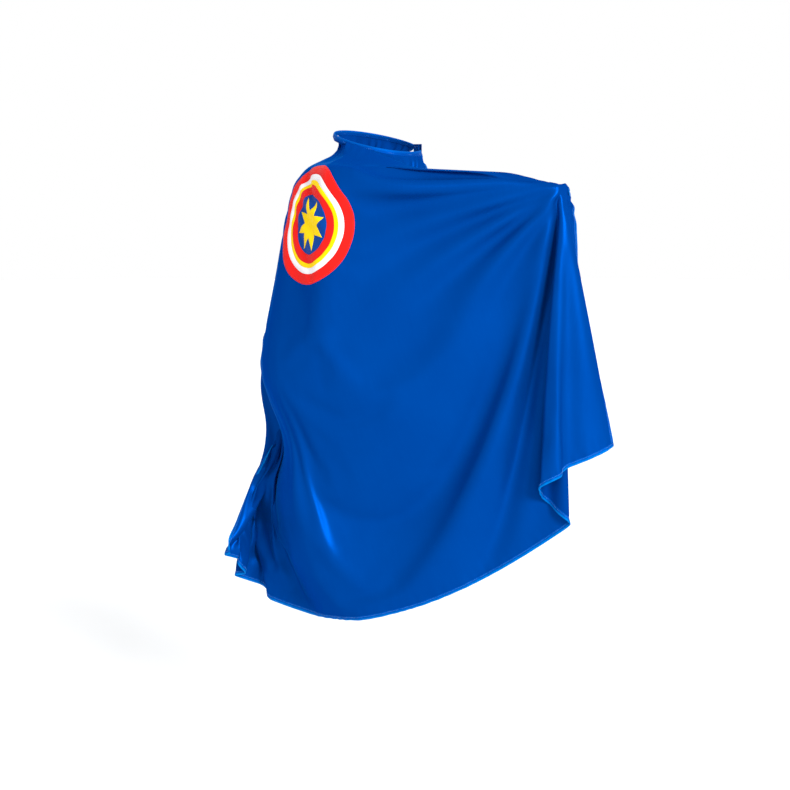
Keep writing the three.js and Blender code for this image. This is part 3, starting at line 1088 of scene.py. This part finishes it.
def tabMatrix(side, away):
    # x runs along the tab from its root, z faces away from the other tab
    forwards = acrossGap if side == "right" else -acrossGap
    facing = outwards if side == "right" else -outwards
    root = gapEnds[side] + forwards * closure["rootGap"]
    root.z = tabLevel
    turned = Matrix((forwards, facing.cross(forwards), facing)).transposed()
    return Matrix.Translation(root + facing * away) @ turned.to_4x4()


def mapFlat(bm):
    uvLayer = bm.loops.layers.uv.new("pattern")
    for face in bm.faces:
        for loop in face.loops:
            loop[uvLayer].uv = loop.vert.co.xy


def placeFlatPiece(bm, side, away):
    mapFlat(bm)
    bmesh.ops.transform(bm, matrix=tabMatrix(side, away), verts=bm.verts)


def roundedRectangle(start, end, height, corner, ends, thickness, edge):
    # a slab whose corners are rounded at one end or at both, with softly bevelled edges
    bm = bmesh.new()
    bmesh.ops.create_grid(bm, x_segments=1, y_segments=1, size=0.5)
    bmesh.ops.scale(bm, verts=bm.verts, vec=(end - start, height, 1))
    bmesh.ops.translate(bm, verts=bm.verts, vec=((start + end) / 2, 0, -thickness / 2))
    rounded = [v for v in bm.verts if ends == 2 or v.co.x > (start + end) / 2]
    bmesh.ops.bevel(
        bm, geom=rounded, offset=corner, affect="VERTICES", segments=7, profile=0.5, material=-1
    )
    raised = bmesh.ops.extrude_face_region(bm, geom=bm.faces[:])
    moved = [v for v in raised["geom"] if isinstance(v, bmesh.types.BMVert)]
    bmesh.ops.translate(bm, verts=moved, vec=(0, 0, thickness))
    bmesh.ops.recalc_face_normals(bm, faces=bm.faces)
    flatFaces = [f for f in bm.faces if abs(f.normal.z) > 0.9]
    rims = list({e for f in flatFaces for e in f.edges})
    bmesh.ops.bevel(
        bm, geom=rims, offset=edge, affect="EDGES", segments=3, profile=0.5, material=-1
    )
    return bm


def makeTab(side):
    bm = roundedRectangle(
        -closure["rootTuck"], closure["length"], closure["height"], closure["corner"], 1,
        closure["thickness"], closure["edge"],
    )
    wide = [f for f in bm.faces if abs(f.normal.z) > 0.9]
    for reach, depth in closure["pressedIn"]:
        bmesh.ops.inset_individual(bm, faces=wide, thickness=reach, depth=depth)
    placeFlatPiece(bm, side, tabMiddle)
    if side == "left":
        return finishPiece("leftTab", bm, "satin", ["left_tab"])
    return finishPiece("rightTab", bm, "satin", ["right_tab"], "hook_tab")


def addArch(bm, x, y, base, radius, wire, turn, sweep):
    # a bent wire: a small ring of vertices spun part of a circle
    made = bmesh.ops.create_circle(bm, cap_ends=False, segments=4, radius=wire)
    ring = made["verts"]
    bmesh.ops.translate(bm, verts=ring, vec=(radius, 0, 0))
    edges = list({e for v in ring for e in v.link_edges})
    spun = bmesh.ops.spin(
        bm, geom=ring + edges, cent=(0, 0, 0), axis=(0, -1, 0), angle=sweep, steps=5, use_merge=False
    )
    tip = [e for e in spun["geom_last"] if isinstance(e, bmesh.types.BMEdge)]
    bmesh.ops.edgeloop_fill(bm, edges=tip)
    shape = set(ring)
    grown = list(ring)
    while grown:
        near = [w.other_vert(v) for v in grown for w in v.link_edges]
        grown = [v for v in set(near) if v not in shape]
        shape.update(grown)
    place = Matrix.Translation((x, y, base)) @ Matrix.Rotation(turn, 4, "Z")
    bmesh.ops.transform(bm, matrix=place, verts=list(shape))


def makePatch(side, kind, body):
    thickness, margin = closure["patchThickness"], closure["pileMargin"]
    pitch = closure[kind + "Pitch"]
    bm = roundedRectangle(
        patchStart, patchStart + closure["patchLength"], closure["patchHeight"],
        closure["patchCorner"], 2, thickness * closure["backingShare"], closure["patchEdge"],
    )
    columns = int((closure["patchLength"] - 2 * margin) / pitch)
    rows = int((closure["patchHeight"] - 2 * margin) / pitch)
    radius = closure["archShare"] * closure[kind + "Height"]
    pile = bmesh.new()
    for i in range(columns):
        for j in range(rows):
            x = patchStart + margin + (i + 0.5 + closure["pileStagger"] * (j % 2)) * pitch
            y = -closure["patchHeight"] / 2 + margin + (j + 0.5) * pitch
            # hooks face by turns one way and the other, loops face anywhere
            turn = math.pi * (j % 2) if kind == "hook" else 2.4 * (i + 7 * j)
            addArch(pile, x, y, 0, radius, closure["wire"], turn, closure[kind + "Sweep"])
    bmesh.ops.transform(pile, matrix=Matrix.Rotation(math.pi, 4, "X"), verts=pile.verts)
    bmesh.ops.translate(pile, verts=pile.verts, vec=(0, 0, -thickness * closure["pileSunk"]))
    spare = bpy.data.meshes.new("pile")
    pile.to_mesh(spare)
    pile.free()
    bm.from_mesh(spare)
    bpy.data.meshes.remove(spare)
    placeFlatPiece(bm, side, patchOuter - thickness * closure["backingShare"] / 2)
    return finishPiece(kind + "Patch", bm, kind + "Tape", [kind + "_patch"], body)


def makePatchStitches(side, kind, body):
    bm = bmesh.new()
    inset = closure["stitchInset"]
    length = closure["patchLength"] - 2 * inset
    height = closure["patchHeight"] - 2 * inset
    left = patchStart + inset
    matrix = tabMatrix(side, tabMiddle)
    proud = closure["thickness"] / 2 + closure["stitchProud"]
    halfLength, halfWidth, halfHeight = closure["stitchReach"]
    runs = [
        (left, -height / 2, 1, 0, length), (left, height / 2, 1, 0, length),
        (left, -height / 2, 0, 1, height), (left + length, -height / 2, 0, 1, height),
    ]
    for startX, startY, alongX, alongY, reach in runs:
        count = round(reach / closure["stitchPitch"])
        for i in range(count):
            along = (i + 0.5) * reach / count
            place = Matrix.Translation((startX + alongX * along, startY + alongY * along, proud))
            sizeX, sizeY = (halfLength if ahead else halfWidth for ahead in (alongX, alongY))
            size = Matrix.Diagonal((sizeX, sizeY, halfHeight, 1))
            bmesh.ops.create_icosphere(bm, subdivisions=1, radius=1, matrix=matrix @ place @ size)
    name, node = kind + "PatchStitches", kind + "_patch_thread"
    return finishPiece(name, bm, "thread", [node], body)


makeTab("left")
makeTab("right")
makePatch("left", "loop", "cape")
makePatch("right", "hook", "hook_tab")
makePatchStitches("left", "loop", "cape")
makePatchStitches("right", "hook", "hook_tab")
print("closure made")

# Care label: a blank ribbon, folded double, that hangs inside from the binding

label = {
    "width": 0.024,
    "length": 0.019,
    "thickness": 0.00035,
    "awayTop": 0.0040,  # in from the neckline
    "awayFold": 0.0140,
    "foldGap": 0.0009,
    "sewnAt": 0.0045,  # under the neckline
    "foldShare": 0.06,  # of the ribbon's length, taken by the fold
    "foldRound": 0.03,
    "leanPower": 0.7,
    "wave": (0.0006, 5, 1),  # depth, turns across, start
}


def makeLabel():
    bm = bmesh.new()
    bmesh.ops.create_grid(bm, x_segments=12, y_segments=40, size=0.5)
    sideways, turn = gridShares(bm)
    runs = 2 * turn - 1  # front layer, fold at 0, back layer
    depth = 1 - np.abs(runs)
    throughFold = np.clip(runs / label["foldShare"], -1, 1)
    rounding = label["foldRound"] * np.sqrt(1 - throughFold**2)
    below = label["sewnAt"] + label["length"] * (depth * (1 - label["foldRound"]) + rounding)
    layer = throughFold * label["foldGap"]
    leaning = depth ** label["leanPower"]
    away = label["awayTop"] + (label["awayFold"] - label["awayTop"]) * leaning
    waveDepth, turns, start = label["wave"]
    wave = waveDepth * np.sin(turns * sideways + start) * depth
    x = (sideways - 0.5) * label["width"]
    for vertex, place in zip(bm.verts, np.stack([x, -below], axis=-1)):
        vertex.co.xy = place
    mapFlat(bm)
    across = 0.5 + x / cut["neckLength"]
    angle = neckAngle(across)
    inwards = -np.stack([np.cos(angle), np.sin(angle), 0 * angle], axis=-1)
    hanging = neckPoint(across) + inwards * (away + layer + wave)[:, None]
    hanging[:, 2] -= below
    for vertex, place in zip(bm.verts, hanging):
        vertex.co = place
    piece = finishPiece("careLabel", bm, "label", ["care_label"])
    wall = piece.modifiers.new("ribbonThickness", "SOLIDIFY")
    wall.thickness = label["thickness"]
    wall.offset = 0
    return piece


makeLabel()
print("label made")

# Floor and cloth facts


def makeFloor():
    material, pen, shader = newFinish("paleFloor", Roughness=0.8, Specular_IOR_Level=0.2)
    place = pen.node("ShaderNodeTexCoord", output=3)
    cloud = cloudiness(pen, place, 1.5)
    plug(cloud.blendColours(*studio["floorColours"]), shader, "Base Color")
    bm = bmesh.new()
    bmesh.ops.create_circle(bm, cap_ends=True, segments=96, radius=studio["floorRadius"])
    bmesh.ops.translate(bm, verts=bm.verts, vec=(0, 0, studio["floorHeight"]))
    mesh = bpy.data.meshes.new("floor")
    bm.to_mesh(mesh)
    bm.free()
    mesh.materials.append(material)
    addToScene("floor", mesh)


def patternSize():
    across, down = np.meshgrid(np.linspace(0, 1, 201), np.linspace(0, 1, 201))
    x, y = patternPoint(across, down)
    width = x.max() - x.min()
    length = y.max() - y.min()
    rowX, rowY = np.diff(x, axis=1)[:-1], np.diff(y, axis=1)[:-1]
    fallX, fallY = np.diff(x, axis=0)[:, :-1], np.diff(y, axis=0)[:, :-1]
    return width, length, np.abs(rowX * fallY - rowY * fallX).sum()


makeFloor()
clothWidth, clothLength, clothArea = patternSize()
print("cloth cut", round(clothWidth, 3), "by", round(clothLength, 3), "area", round(clothArea, 3))
